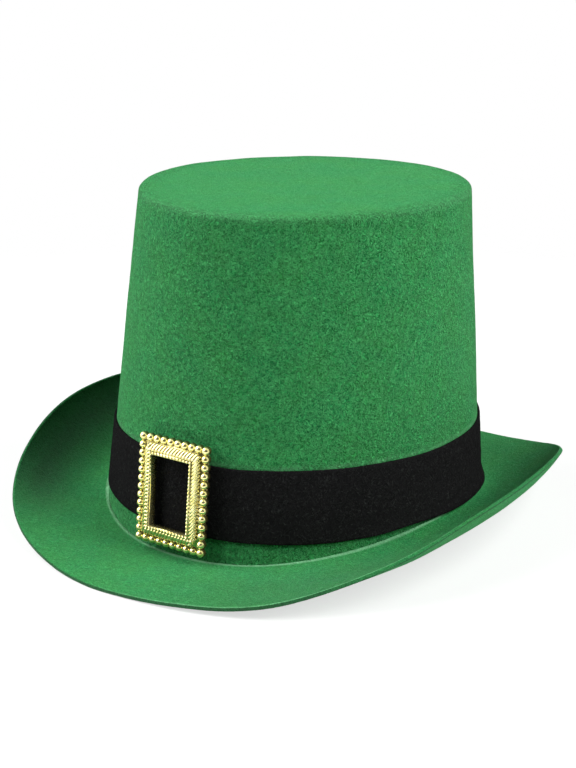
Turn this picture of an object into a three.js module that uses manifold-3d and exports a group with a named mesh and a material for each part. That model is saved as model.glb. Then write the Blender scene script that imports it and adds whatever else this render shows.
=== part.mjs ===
import * as THREE from "three";
import { mergeVertices } from "three/addons/utils/BufferGeometryUtils.js";
import Module from "manifold-3d";

// A green felt top hat with a black band and a gold buckle, in millimetres.
// +Z is up, the buckle is in front at -Y and the wearer's left is at +X.
// The origin is on the surface that the hat stands on, in the middle of the brim's outline.

const wasm = await Module();
wasm.setup();

// Material and clearance
const felt = 2.0;
const ribbon = 1.3;
const gap = 0.3;

// Crown: inside sizes at its foot, outside sizes at its top
const headLength = 200.0;
const headWidth = 186.0;
const topLength = 175.2;
const topWidth = 162.5;
const crownHeight = 161.7;
const topRounding = 2.7;
const footPower = 2.05;
const topPower = 1.87;
const crownSetBack = 6.0;
const topLean = 5.2;

// Brim: the outline of its upper face, and how its sides curl up
const brimLength = 285.3;
const brimWidth = 261.6;
const brimPower = 2.185;
const curlHeight = 35.9;
const curlPower = 2.66;
const curlShift = 0.072;
const curlAngle = THREE.MathUtils.degToRad(79);
const curlAnglePower = 3.5;
const curlReach = 13.0;
const headlineRise = 13.1;
const headlinePower = 2.46;
const lipAngle = THREE.MathUtils.degToRad(80);
const lipPower = 5.0;
const lipReach = 11.2;

// Band: its edges, and how it eases out over the brim's turned-up margin: how far above the
// margin, from which share of the arch that brings the margin up to the band, and how much
const bandTop = 48.8;
const bandBottom = 13.7;
const flareHeight = 3.6;
const flareStart = 0.6;
const flareOut = 3.0;

// Buckle: the rectangle through the bead centres, and the frame inside it
const beadsWide = 9;
const beadsHigh = 12;
const beadPitch = 4.05;
const beadRadius = 2.0;
const buckleHeight = 32.0;
const frameSide = 7.1;
const frameRim = 0.8;
const beadSeat = 1.6;
const lipProud = 3.4;
const ropePitch = 1.78;
const ropeWidth = 1.0;
const ropeSlant = THREE.MathUtils.degToRad(48);
const barWidth = 6.0;
const barThickness = 1.1;
const footHeight = 3.6;

// How finely the round forms are stepped
const ringSteps = 60;
const brimSteps = 10;
const roundingSteps = 3;
const beadSides = 10;

const turn = Math.PI * 2;
const wallTop = crownHeight - topRounding;

// Crown sections from the foot up. height is a share of the wall's height, long, wide and
// power are shares of the way from the foot's sizes to the top's, lean is a share of topLean.
const crownSections = [
  { height: 0.0, long: 0.0, wide: 0.0, power: 0.0, lean: 0.0 },
  { height: 0.087, long: 0.18, wide: 0.15, power: 0.05, lean: 0.0 },
  { height: 0.31, long: 0.43, wide: 0.45, power: 0.2, lean: 0.0 },
  { height: 0.65, long: 0.663, wide: 0.702, power: 0.6, lean: 0.49 },
  { height: 1.0, long: 1.0, wide: 1.0, power: 1.0, lean: 1.0 },
];

// Frame section of the buckle. side is a share of frameSide out from the window's edge,
// height is a share of the lip's height above the frame's back.
const frameSection = [
  { side: 0.0, height: 0.97 },
  { side: 0.07, height: 1.0 },
  { side: 0.16, height: 0.98 },
  { side: 0.62, height: 0.62 },
  { side: 0.7, height: 0.4 },
];

function mix(from, to, share) {
  return from + (to - from) * share;
}

// Sizes of the crown's outer face at a height above the floor.
function wallAt(height) {
  const share = THREE.MathUtils.clamp(height / wallTop, 0, 1);
  const upper = Math.max(1, crownSections.findIndex((row) => row.height >= share));
  const low = crownSections[upper - 1];
  const high = crownSections[upper];
  const t = (share - low.height) / (high.height - low.height);
  const at = (column) => mix(low[column], high[column], t);
  return {
    halfLength: mix(headLength / 2 + felt, topLength / 2, at("long")),
    halfWidth: mix(headWidth / 2 + felt, topWidth / 2, at("wide")),
    power: mix(footPower, topPower, at("power")),
    setBack: crownSetBack + topLean * at("lean"),
  };
}

// A point of an oval, with angle 0 in front and a quarter turn at the wearer's left.
function ovalPoint(angle, halfLength, halfWidth, power, setBack, height) {
  const sine = Math.sin(angle);
  const cosine = Math.cos(angle);
  return new THREE.Vector3(
    halfWidth * Math.sign(sine) * Math.abs(sine) ** (2 / power),
    setBack - halfLength * Math.sign(cosine) * Math.abs(cosine) ** (2 / power),
    height,
  );
}

// A point that stands off the crown's outer face.
function wallPoint(angle, height, standOff) {
  const wall = wallAt(height);
  return ovalPoint(
    angle,
    wall.halfLength + standOff,
    wall.halfWidth + standOff,
    wall.power,
    wall.setBack,
    height,
  );
}

// Height of the headline's arch above its lowest point, in front and behind.
function headlineArch(angle) {
  return headlineRise * sideShare(angle, headlinePower);
}

// How far the brim is turned up at an angle: 0 in front and behind, 1 at the sides.
function sideShare(angle, power) {
  return Math.abs(Math.sin(angle)) ** power;
}

// Angles of a full ring, in equal steps.
function ringAngles(steps) {
  return Array.from({ length: steps }, (_, i) => (i / steps) * turn);
}

// Joins rings of points into a closed skin. Each ring has as many points as the next.
// With poles the first and last rings are closed by fans, and else the last meets the first.
function skin(rings, poles) {
  const size = rings[0].length;
  const points = rings.flat();
  const index = [];
  const bands = poles ? rings.length - 1 : rings.length;
  for (let band = 0; band < bands; band += 1) {
    const next = (band + 1) % rings.length;
    for (let i = 0; i < size; i += 1) {
      const j = (i + 1) % size;
      const a = band * size + i;
      const b = band * size + j;
      const c = next * size + j;
      const d = next * size + i;
      index.push(a, b, c, a, c, d);
    }
  }
  if (poles) {
    const last = (rings.length - 1) * size;
    points.push(poles.first, poles.last);
    for (let i = 0; i < size; i += 1) {
      const j = (i + 1) % size;
      index.push(points.length - 2, j, i);
      index.push(points.length - 1, last + i, last + j);
    }
  }
  const geometry = new THREE.BufferGeometry();
  const position = points.flatMap((point) => [point.x, point.y, point.z]);
  geometry.setAttribute("position", new THREE.Float32BufferAttribute(position, 3));
  geometry.setIndex(index);
  return geometry;
}

// Rings of one face of the crown, from its foot to the flat of its top.
function crownFace(angles, inset, foot) {
  const rings = crownSections.map((row) =>
    angles.map((angle) => {
      const low = foot(angle);
      const height = row.height === 0 ? low : Math.max(row.height * wallTop, low + felt);
      return wallPoint(angle, height, -inset);
    }),
  );
  const top = wallAt(wallTop);
  const radius = Math.max(topRounding - inset, ribbon / 2);
  for (let step = 1; step <= roundingSteps; step += 1) {
    const bend = ((step / roundingSteps) * Math.PI) / 2;
    const inward = inset + radius * (1 - Math.cos(bend));
    const height = crownHeight - inset - radius * (1 - Math.sin(bend));
    rings.push(
      angles.map((angle) =>
        ovalPoint(
          angle,
          top.halfLength - inward,
          top.halfWidth - inward,
          top.power,
          top.setBack,
          height,
        ),
      ),
    );
  }
  return rings;
}

// The crown: a tapered felt wall and a flat top in one piece, open below.
function crownGeometry() {
  const angles = ringAngles(ringSteps);
  const foot = (angle) => brimLow(angle) + gap;
  const outer = crownFace(angles, 0, foot);
  const inner = crownFace(angles, felt, foot);
  const middle = crownSetBack + topLean;
  return skin([...inner.reverse(), ...outer], {
    first: new THREE.Vector3(0, middle, crownHeight - felt),
    last: new THREE.Vector3(0, middle, crownHeight),
  });
}

// The brim's section at an angle: where it starts beside the crown, the way it runs out, and
// the curve of its middle surface, from the top of its turned-up margin to its outer edge.
function brimSection(angle) {
  const dive = lipAngle * sideShare(angle, lipPower);
  const rise = curlAngle * sideShare(angle, curlAnglePower);
  const lipTop = felt + headlineArch(angle);
  const lipBottom = lipTop - felt * Math.cos(dive);
  const start = wallPoint(angle, lipBottom, gap + (felt / 2) * Math.sin(dive));
  const edgeArch = Math.abs(Math.sin(angle - curlShift * Math.sin(angle))) ** curlPower;
  const edgeHeight = felt + curlHeight * edgeArch;
  const edge = ovalPoint(angle, brimLength / 2, brimWidth / 2, brimPower, 0, edgeHeight);
  const outward = edge.clone().sub(start).setZ(0);
  const reach = outward.length() + (felt / 2) * Math.sin(rise);
  const startHeight = lipTop - (felt / 2) * Math.cos(dive);
  const endHeight = edgeHeight - (felt / 2) * Math.cos(rise);
  const curve = new THREE.CubicBezierCurve(
    new THREE.Vector2(0, startHeight),
    new THREE.Vector2(lipReach * Math.cos(dive), startHeight - lipReach * Math.sin(dive)),
    new THREE.Vector2(reach - curlReach * Math.cos(rise), endHeight - curlReach * Math.sin(rise)),
    new THREE.Vector2(reach, endHeight),
  );
  return { start: start.setZ(0), outward: outward.normalize(), curve };
}

// A point of the brim, to one side of its middle surface.
function brimPoint(section, t, side) {
  const middle = section.curve.getPoint(t);
  const along = section.curve.getTangent(t);
  const reach = middle.x - along.y * side;
  const height = middle.y + along.x * side;
  return section.start.clone().addScaledVector(section.outward, reach).setZ(height);
}

// The lowest point of the brim's section at an angle.
function brimLow(angle) {
  const section = brimSection(angle);
  const heights = Array.from({ length: brimSteps + 1 }, (_, step) =>
    brimPoint(section, step / brimSteps, -felt / 2).z,
  );
  return Math.min(...heights);
}

// The brim: one felt sheet whose sides curl up and whose inner margin stands against the crown.
function brimGeometry() {
  const sections = ringAngles(ringSteps).map(brimSection);
  const face = (side) =>
    Array.from({ length: brimSteps + 1 }, (_, step) =>
      sections.map((section) => brimPoint(section, step / brimSteps, side)),
    );
  return skin([...face(-felt / 2), ...face(felt / 2).reverse()]);
}

// The straight line of the buckle's back, from its lower foot to the band's top edge.
const footLevel = bandBottom - gap - footHeight;
const seatLow = wallPoint(0, footLevel, 0);
const seatHigh = wallPoint(0, bandTop, 0);
const lean = Math.atan2(seatHigh.y - seatLow.y, bandTop - footLevel);

function seatAt(height) {
  return seatLow.clone().lerp(seatHigh, (height - footLevel) / (bandTop - footLevel));
}

// How far the band stands off over the bar of the buckle, across the front.
const barStack = gap + barThickness;

function barLift(across, height) {
  const wall = wallAt(height);
  const hollow = Math.max(0, wall.setBack - wall.halfLength - seatAt(height).y);
  const stack = barStack + hollow;
  const bendRadius = wall.halfWidth ** 2 / wall.halfLength;
  const reach = Math.sqrt(2 * bendRadius * stack);
  const beyond = Math.max(0, Math.abs(across) - barWidth / 2 - gap);
  return stack * Math.max(0, 1 - beyond / reach) ** 2;
}

// Angles of the band's rings: finely stepped in front, where it passes over the buckle's bar.
function bandAngles() {
  const frontShare = 0.1;
  const frontSteps = 20;
  const frontHalf = (frontShare * turn) / 2;
  const backSteps = Math.round(ringSteps * (1 - frontShare));
  const front = ringAngles(frontSteps).map((angle) => mix(-frontHalf, frontHalf, angle / turn));
  const back = ringAngles(backSteps).map((angle) => mix(frontHalf, turn - frontHalf, angle / turn));
  return [...front, ...back];
}

// The band's four levels at an angle, from its top edge down. It is eased out over the brim's
// turned-up margin, the more so the nearer that comes up to the band's lower edge.
function bandLevels(angle) {
  const archFull = bandBottom - felt - gap;
  const archStart = flareStart * archFull;
  const arch = headlineArch(angle);
  const cover = Math.max(arch + felt, bandBottom) + gap;
  const flare = THREE.MathUtils.smoothstep(arch, archStart, archFull) * flareOut;
  return [
    { height: bandTop, flare: 0 },
    { height: cover + flareHeight, flare: 0 },
    { height: cover, flare },
    { height: bandBottom, flare },
  ];
}

// The band: a felt ribbon round the foot of the crown.
function bandGeometry() {
  const columns = bandAngles().map((angle) => ({ angle, levels: bandLevels(angle) }));
  const rows = [0, 1, 2, 3];
  const face = (standOff) =>
    rows.map((row) =>
      columns.map(({ angle, levels }) => {
        const { height, flare } = levels[row];
        const lift = Math.cos(angle) > 0 ? barLift(wallPoint(angle, height, 0).x, height) : 0;
        return wallPoint(angle, height, gap + standOff + lift + flare);
      }),
    );
  return skin([...face(0), ...face(ribbon).reverse()]);
}

// Makes a solid of a closed geometry, for joining.
function toSolid(geometry) {
  const plain = geometry.clone();
  plain.deleteAttribute("normal");
  plain.deleteAttribute("uv");
  const merged = mergeVertices(plain, 1e-4);
  return new wasm.Manifold(
    new wasm.Mesh({
      numProp: 3,
      vertProperties: merged.attributes.position.array,
      triVerts: new Uint32Array(merged.index.array),
    }),
  );
}

function toGeometry(solid) {
  const mesh = solid.getMesh();
  const geometry = new THREE.BufferGeometry();
  geometry.setAttribute("position", new THREE.BufferAttribute(mesh.vertProperties, 3));
  geometry.setIndex(new THREE.BufferAttribute(mesh.triVerts, 1));
  return geometry;
}

// The buckle lies in its own plane: x across, y up, z out from the crown's face behind it.
const buckleHalfWide = (beadsWide * beadPitch) / 2;
const buckleHalfHigh = (beadsHigh * beadPitch) / 2;
const frameBack = barStack + gap + ribbon + gap;
const beadLevel = frameBack + beadSeat;
const lipLevel = beadLevel + lipProud;

// The frame without its relief: one section carried round the window.
function frameGeometry() {
  const profile = [
    { side: 0, level: frameBack },
    ...frameSection.map((row) => ({
      side: row.side * frameSide,
      level: mix(frameBack, lipLevel, row.height),
    })),
    { side: frameSide + frameRim, level: beadLevel - frameRim },
    { side: frameSide + frameRim, level: frameBack },
  ];
  const corners = [
    [-1, -1],
    [1, -1],
    [1, 1],
    [-1, 1],
  ];
  const rings = profile.map(({ side, level }) =>
    corners.map(
      ([x, y]) =>
        new THREE.Vector3(
          x * (buckleHalfWide - frameSide + side),
          y * (buckleHalfHigh - frameSide + side),
          level,
        ),
    ),
  );
  return skin(rings.reverse());
}

// The beads: a row of them along every side, each corner bead shared by two sides.
// Each is a half sphere on a round post that reaches the frame's back.
function beadGeometries() {
  const domeSteps = 2;
  const dome = Array.from({ length: domeSteps }, (_, step) => {
    const rise = ((step / domeSteps) * Math.PI) / 2;
    return new THREE.Vector2(beadRadius * Math.cos(rise), beadRadius * Math.sin(rise));
  });
  const profile = [
    new THREE.Vector2(0, -beadSeat),
    new THREE.Vector2(beadRadius, -beadSeat),
    ...dome,
    new THREE.Vector2(0, beadRadius),
  ];
  const beads = [];
  for (let column = 0; column <= beadsWide; column += 1) {
    for (let row = 0; row <= beadsHigh; row += 1) {
      const inside = column > 0 && column < beadsWide && row > 0 && row < beadsHigh;
      if (inside) continue;
      const bead = new THREE.LatheGeometry(profile, beadSides);
      bead.rotateX(Math.PI / 2);
      bead.translate(
        column * beadPitch - buckleHalfWide,
        row * beadPitch - buckleHalfHigh,
        beadLevel,
      );
      beads.push(bead);
    }
  }
  return beads;
}

// The rope relief: slanted strands across the frame's sloping face.
function ropeGeometries() {
  const inner = frameSection[2];
  const outer = frameSection[3];
  const width = (outer.side - inner.side) * frameSide;
  const drop = (inner.height - outer.height) * (lipLevel - frameBack);
  const middle = ((inner.side + outer.side) / 2) * frameSide;
  const level = mix(frameBack, lipLevel, (inner.height + outer.height) / 2);
  const strands = [];
  const sides = [
    { out: [1, 0], half: buckleHalfHigh },
    { out: [-1, 0], half: buckleHalfHigh },
    { out: [0, 1], half: buckleHalfWide },
    { out: [0, -1], half: buckleHalfWide },
  ];
  for (const { out, half } of sides) {
    const [outX, outY] = out;
    const run = half - frameSide + middle;
    const count = Math.round((2 * run) / ropePitch);
    const reachX = buckleHalfWide - frameSide + middle;
    const reachY = buckleHalfHigh - frameSide + middle;
    const outward = Math.cos(ropeSlant) * outX + Math.sin(ropeSlant) * outY;
    const length = width / Math.abs(outward);
    const direction = new THREE.Vector3(
      Math.cos(ropeSlant),
      Math.sin(ropeSlant),
      (-outward * drop) / width,
    );
    for (let i = 0; i < count; i += 1) {
      const along = ((i + 0.5) / count) * 2 * run - run;
      const strand = new THREE.BoxGeometry(ropeWidth, length, ropeWidth);
      strand.applyQuaternion(
        new THREE.Quaternion().setFromUnitVectors(
          new THREE.Vector3(0, 1, 0),
          direction.clone().normalize(),
        ),
      );
      strand.translate(
        outX * reachX + Math.abs(outY) * along,
        outY * reachY + Math.abs(outX) * along,
        level,
      );
      strands.push(strand);
    }
  }
  return strands;
}

function boxGeometry(low, high) {
  const size = high.clone().sub(low);
  const middle = low.clone().add(high).multiplyScalar(0.5);
  return new THREE.BoxGeometry(size.x, size.y, size.z).translate(middle.x, middle.y, middle.z);
}

// The bar behind the band, and the two feet that join it to the frame past the band's edges.
function barGeometries() {
  const window = buckleHalfHigh - frameSide;
  const bandRise = (bandTop - buckleHeight) / Math.cos(lean);
  const bandDrop = (buckleHeight - bandBottom) / Math.cos(lean) + frameBack * Math.tan(lean);
  const upperFoot = Math.max(bandRise + gap, window);
  const lowerFoot = -Math.max(bandDrop + gap, window);
  const half = barWidth / 2;
  const bars = [[lowerFoot - footHeight, upperFoot + footHeight, barStack]];
  const feet = [
    [upperFoot, upperFoot + footHeight, beadLevel],
    [lowerFoot - footHeight, lowerFoot, beadLevel],
  ];
  return [...bars, ...feet].map(([low, high, level]) =>
    boxGeometry(new THREE.Vector3(-half, low, gap), new THREE.Vector3(half, high, level)),
  );
}

// The buckle: frame, beads, rope relief and bar moulded as one.
function buckleGeometry() {
  const pieces = [
    frameGeometry(),
    ...beadGeometries(),
    ...ropeGeometries(),
    ...barGeometries(),
  ];
  return toGeometry(pieces.map(toSolid).reduce((whole, piece) => whole.add(piece)));
}

function piece(name, geometry, color, roughness, metalness) {
  const material = new THREE.MeshStandardMaterial({ color, roughness, metalness });
  const mesh = new THREE.Mesh(geometry, material);
  mesh.name = name;
  return mesh;
}

const hat = new THREE.Group();
hat.add(piece("crown", crownGeometry(), 0x3c8a4a, 0.95, 0.0));
hat.add(piece("brim", brimGeometry(), 0x3c8a4a, 0.95, 0.0));
hat.add(piece("band", bandGeometry(), 0x17181a, 0.95, 0.0));

const buckle = piece("buckle", buckleGeometry(), 0xe6cf72, 0.25, 1.0);
buckle.position.copy(seatAt(buckleHeight));
buckle.rotation.x = Math.PI / 2 - lean;
hat.add(buckle);

export default hat;
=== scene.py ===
import math

import bpy
import numpy as np
from mathutils import Matrix, Vector, noise


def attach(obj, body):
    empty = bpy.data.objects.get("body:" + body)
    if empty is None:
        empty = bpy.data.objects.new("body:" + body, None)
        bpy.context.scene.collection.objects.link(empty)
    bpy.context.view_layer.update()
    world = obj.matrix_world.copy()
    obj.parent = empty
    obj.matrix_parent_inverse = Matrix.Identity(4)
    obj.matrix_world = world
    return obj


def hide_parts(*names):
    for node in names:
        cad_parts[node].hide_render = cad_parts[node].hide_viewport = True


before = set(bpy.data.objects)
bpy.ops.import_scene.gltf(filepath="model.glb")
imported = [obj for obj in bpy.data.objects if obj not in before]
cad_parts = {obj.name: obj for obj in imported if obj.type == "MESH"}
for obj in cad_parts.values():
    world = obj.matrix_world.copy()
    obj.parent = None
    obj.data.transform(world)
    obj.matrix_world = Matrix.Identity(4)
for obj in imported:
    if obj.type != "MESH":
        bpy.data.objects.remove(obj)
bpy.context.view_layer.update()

# A green felt top hat with a black band and a gold buckle. Sizes are in millimetres in this
# script and become metres where a mesh is made. +Z is up and the buckle is in front at -Y.
MM = 0.001
TURN = 2 * math.pi

# Material and clearance
FELT = 2.0
RIBBON = 1.3
GAP = 0.3

# Where the pieces touch in the picture: what is left of the gap, how thin the brim's margin is
# pressed against the crown, and how far it eases the band out
TOUCH = 0.04
LIP_THIN = 0.7
EASE_OUT = 2.1

# Crown
HEAD_LENGTH = 200.0
HEAD_WIDTH = 186.0
TOP_LENGTH = 175.2
TOP_WIDTH = 162.5
CROWN_HEIGHT = 161.7
TOP_ROUNDING = 2.7
FOOT_POWER = 2.05
TOP_POWER = 1.87
CROWN_SET_BACK = 6.0
TOP_LEAN = 5.2
TOP_SADDLE = 0.6
WALL_TOP = CROWN_HEIGHT - TOP_ROUNDING

# The flat that is pressed into the wall behind the wearer's left side
FLAT_ANGLE = math.radians(128)
FLAT_WIDTH = math.radians(38)
FLAT_DEPTH = 1.9
FLAT_HEIGHT = 17.0

# Brim
BRIM_LENGTH = 285.3
BRIM_WIDTH = 261.6
BRIM_POWER = 2.185
CURL_HEIGHT = 35.9
CURL_POWER = 2.66
CURL_SHIFT = 0.072
CURL_ANGLE = math.radians(79)
CURL_ANGLE_POWER = 3.5
CURL_REACH = 13.0
HEADLINE_RISE = 13.1
HEADLINE_POWER = 2.46
LIP_ANGLE = math.radians(80)
LIP_POWER = 5.0
LIP_REACH = 11.2
EDGE_ROUND = 0.55

# Band
BAND_TOP = 48.8
BAND_BOTTOM = 13.7
FLARE_HEIGHT = 3.6
FLARE_START = 0.6
FLARE_POWER = 1.3

# Buckle
BEADS_WIDE = 9
BEADS_HIGH = 12
BEAD_PITCH = 4.05
BEAD_RADIUS = 2.0
BUCKLE_HEIGHT = 32.0
FRAME_SIDE = 7.1
FRAME_RIM = 0.8
RIM_CHAMFER = 0.3
BEAD_SEAT = 1.6
LIP_PROUD = 3.4
ROPE_PITCH = 1.78
ROPE_SLANT = math.radians(48)
DOT_PITCH = 1.77
DOT_RADIUS = 0.72
BAR_WIDTH = 6.0
BAR_THICKNESS = 1.1
BEAD_TIP = 0.05
SHARP_ANGLE = math.radians(38)
FOOT_HEIGHT = 3.6

# Waves of the brim's edge. angle is in degrees, out and up are millimetres.
BRIM_WAVES = [
    {"angle": 6, "out": 0.0, "up": 0.4},
    {"angle": 15, "out": 0.0, "up": 0.9},
    {"angle": 24, "out": 0.3, "up": 0.1},
    {"angle": 32, "out": 1.3, "up": 0.0},
    {"angle": 40, "out": 0.2, "up": 0.0},
    {"angle": 47, "out": 0.0, "up": 0.3},
    {"angle": 62, "out": 0.6, "up": 0.0},
    {"angle": 73, "out": -0.5, "up": 0.0},
    {"angle": 87, "out": 0.8, "up": 0.0},
    {"angle": 100, "out": -0.3, "up": 0.0},
    {"angle": 111, "out": -0.9, "up": 0.0},
    {"angle": 140, "out": 0.3, "up": 0.2},
    {"angle": 180, "out": -0.4, "up": 0.5},
    {"angle": 220, "out": 0.5, "up": 0.1},
    {"angle": 250, "out": 0.0, "up": 0.3},
    {"angle": 275, "out": 0.0, "up": 0.6},
    {"angle": 293, "out": -0.6, "up": 0.0},
    {"angle": 317, "out": 0.5, "up": 0.0},
    {"angle": 340, "out": -0.6, "up": 0.2},
    {"angle": 357, "out": 1.2, "up": 0.0},
]

# Waves of the band's two edges, up from BAND_TOP and BAND_BOTTOM in millimetres
BAND_WAVES = [
    {"angle": 8, "top": -1.0, "bottom": 0.0},
    {"angle": 15, "top": -1.7, "bottom": 0.0},
    {"angle": 25, "top": -1.2, "bottom": 0.0},
    {"angle": 48, "top": -1.0, "bottom": 0.2},
    {"angle": 58, "top": -1.1, "bottom": 0.8},
    {"angle": 66, "top": -1.3, "bottom": 2.1},
    {"angle": 80, "top": -2.0, "bottom": 2.0},
    {"angle": 95, "top": -2.0, "bottom": 1.1},
    {"angle": 110, "top": -3.0, "bottom": 0.4},
    {"angle": 135, "top": -2.8, "bottom": 0.0},
    {"angle": 180, "top": -1.2, "bottom": 0.2},
    {"angle": 225, "top": -0.6, "bottom": 0.0},
    {"angle": 300, "top": -1.6, "bottom": 0.3},
    {"angle": 325, "top": -1.1, "bottom": 0.6},
    {"angle": 337, "top": -0.6, "bottom": 0.1},
]

# Sections of the crown's wall from its foot up. height is a share of the wall's height, long,
# wide and power are shares of the way from the foot's sizes to the top's, lean of TOP_LEAN.
CROWN_SECTIONS = [
    {"height": 0.0, "long": 0.0, "wide": 0.0, "power": 0.0, "lean": 0.0},
    {"height": 0.087, "long": 0.18, "wide": 0.15, "power": 0.05, "lean": 0.0},
    {"height": 0.31, "long": 0.43, "wide": 0.45, "power": 0.2, "lean": 0.0},
    {"height": 0.65, "long": 0.663, "wide": 0.702, "power": 0.6, "lean": 0.49},
    {"height": 1.0, "long": 1.0, "wide": 1.0, "power": 1.0, "lean": 1.0},
]

# Section of the buckle's frame. side is a share of FRAME_SIDE out from the window's edge,
# height is a share of the lip's height above the frame's back.
FRAME_SECTION = [
    {"side": 0.0, "height": 0.86},
    {"side": 0.03, "height": 0.94},
    {"side": 0.1, "height": 0.97},
    {"side": 0.17, "height": 0.93},
    {"side": 0.22, "height": 0.82},
    {"side": 0.3, "height": 0.78},
    {"side": 0.58, "height": 0.58},
    {"side": 0.66, "height": 0.44},
    {"side": 0.72, "height": 0.36},
]


def mix(low, high, share):
    return low + (high - low) * share


def smoothstep(value, low, high):
    t = np.clip((value - low) / (high - low), 0, 1)
    return t * t * (3 - 2 * t)


def ring_angles(steps):
    return np.arange(steps) / steps * TURN


def arc_share(angles, centre, half, soft):
    """1 within half a width of a centre, 0 beyond a soft edge, all in degrees round the hat."""
    away = np.abs((np.degrees(angles) - centre + 180) % 360 - 180)
    return 1 - smoothstep(away, half, half + soft)


def side_share(angle, power):
    """How far the brim is turned up at an angle: 0 in front and behind, 1 at the sides."""
    return np.abs(np.sin(angle)) ** power


def wall_at(height):
    """Half length, half width, power and set-back of the crown's outer face at a height."""
    share = np.clip(np.asarray(height, float) / WALL_TOP, 0, 1)
    heights = [row["height"] for row in CROWN_SECTIONS]

    def at(name, foot, top):
        return mix(foot, top, np.interp(share, heights, [row[name] for row in CROWN_SECTIONS]))

    return (
        at("long", HEAD_LENGTH / 2 + FELT, TOP_LENGTH / 2),
        at("wide", HEAD_WIDTH / 2 + FELT, TOP_WIDTH / 2),
        at("power", FOOT_POWER, TOP_POWER),
        at("lean", CROWN_SET_BACK, CROWN_SET_BACK + TOP_LEAN),
    )


def oval_point(angle, half_length, half_width, power, set_back, height):
    """Points of an oval, with angle 0 in front and a quarter turn at the wearer's left."""
    sine, cosine = np.sin(angle), np.cos(angle)
    x = half_width * np.sign(sine) * np.abs(sine) ** (2 / power)
    y = set_back - half_length * np.sign(cosine) * np.abs(cosine) ** (2 / power)
    return np.stack(np.broadcast_arrays(x, y, height), axis=-1)


def wall_point(angle, height, stand_off):
    half_length, half_width, power, set_back = wall_at(height)
    low = np.clip((BAND_TOP - height) / (BAND_TOP - FLAT_HEIGHT), 0, 1)
    flat = FLAT_DEPTH * low * np.exp(-(((np.asarray(angle) - FLAT_ANGLE) / FLAT_WIDTH) ** 2))
    out = stand_off - flat
    return oval_point(angle, half_length + out, half_width + out, power, set_back, height)


def headline_arch(angle):
    return HEADLINE_RISE * side_share(angle, HEADLINE_POWER)


def wave_at(table, angles, name):
    """One column of a table of waves at every angle, smoothed round the edge."""
    degrees = np.degrees(angles) % 360
    rows = [row["angle"] for row in table]
    values = np.interp(degrees, rows, [row[name] for row in table], period=360)
    reach = max(1, len(angles) // 60)
    weights = np.hanning(2 * reach + 3)[1:-1]
    shifted = [np.roll(values, step) for step in range(-reach, reach + 1)]
    return np.tensordot(weights / weights.sum(), shifted, 1)


def brim_frames(angles, steps):
    """The brim's middle surface at every angle: points, tangents and normals, inner edge first."""
    dive = LIP_ANGLE * side_share(angles, LIP_POWER)
    rise = CURL_ANGLE * side_share(angles, CURL_ANGLE_POWER)
    lip_top = FELT + headline_arch(angles)
    start = wall_point(angles, lip_top - FELT * np.cos(dive), TOUCH + FELT / 2 * np.sin(dive))
    curl = np.abs(np.sin(angles - CURL_SHIFT * np.sin(angles))) ** CURL_POWER
    edge_height = FELT + CURL_HEIGHT * curl + wave_at(BRIM_WAVES, angles, "up")
    out = wave_at(BRIM_WAVES, angles, "out")
    edge = oval_point(angles, BRIM_LENGTH / 2 + out, BRIM_WIDTH / 2 + out, BRIM_POWER, 0, edge_height)
    outward = (edge - start)[:, :2]
    length = np.linalg.norm(outward, axis=1)
    outward = outward / length[:, None]
    reach = length + FELT / 2 * np.sin(rise)
    start_height = lip_top - FELT / 2 * np.cos(dive)
    end_height = edge_height - FELT / 2 * np.cos(rise)
    controls = np.array(
        [
            [np.zeros_like(reach), start_height],
            [LIP_REACH * np.cos(dive), start_height - LIP_REACH * np.sin(dive)],
            [reach - CURL_REACH * np.cos(rise), end_height - CURL_REACH * np.sin(rise)],
            [reach, end_height],
        ]
    )
    t = np.linspace(0, 1, steps + 1)[:, None, None]
    curve = (
        (1 - t) ** 3 * controls[0]
        + 3 * (1 - t) ** 2 * t * controls[1]
        + 3 * (1 - t) * t**2 * controls[2]
        + t**3 * controls[3]
    )
    slope = (
        (1 - t) ** 2 * (controls[1] - controls[0])
        + 2 * (1 - t) * t * (controls[2] - controls[1])
        + t**2 * (controls[3] - controls[2])
    )
    slope /= np.linalg.norm(slope, axis=1, keepdims=True)

    def lift(reach_part, height_part, origin):
        flat = outward[None] * reach_part[..., None]
        if origin:
            flat = flat + start[None, :, :2]
        return np.concatenate([flat, height_part[..., None]], axis=-1)

    points = lift(curve[:, 0], curve[:, 1], True)
    tangents = lift(slope[:, 0], slope[:, 1], False)
    normals = lift(-slope[:, 1], slope[:, 0], False)
    return points, tangents, normals


def skin_faces(rows, columns, closed_rows=False):
    """Quads between rows of points whose columns close on themselves."""
    faces = []
    for row in range(rows if closed_rows else rows - 1):
        below = (row + 1) % rows
        for column in range(columns):
            right = (column + 1) % columns
            faces.append(
                (
                    row * columns + column,
                    row * columns + right,
                    below * columns + right,
                    below * columns + column,
                )
            )
    return faces


def make_piece(name, points, faces, material, node):
    """A mesh object from points in millimetres, riding on the hat's one body for one node."""
    mesh = bpy.data.meshes.new(name)
    mesh.from_pydata((np.asarray(points) * MM).tolist(), [], faces)
    mesh.validate()
    mesh.update()
    mesh.polygons.foreach_set("use_smooth", [True] * len(mesh.polygons))
    mesh.materials.append(material)
    piece = bpy.data.objects.new(name, mesh)
    bpy.context.scene.collection.objects.link(piece)
    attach(piece, "root")
    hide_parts(node)
    return piece


def paint(piece, name, values):
    """Stores one number a point, for the material to read."""
    attribute = piece.data.attributes.new(name, "FLOAT", "POINT")
    attribute.data.foreach_set("value", np.asarray(values, np.float32).ravel())


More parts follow.
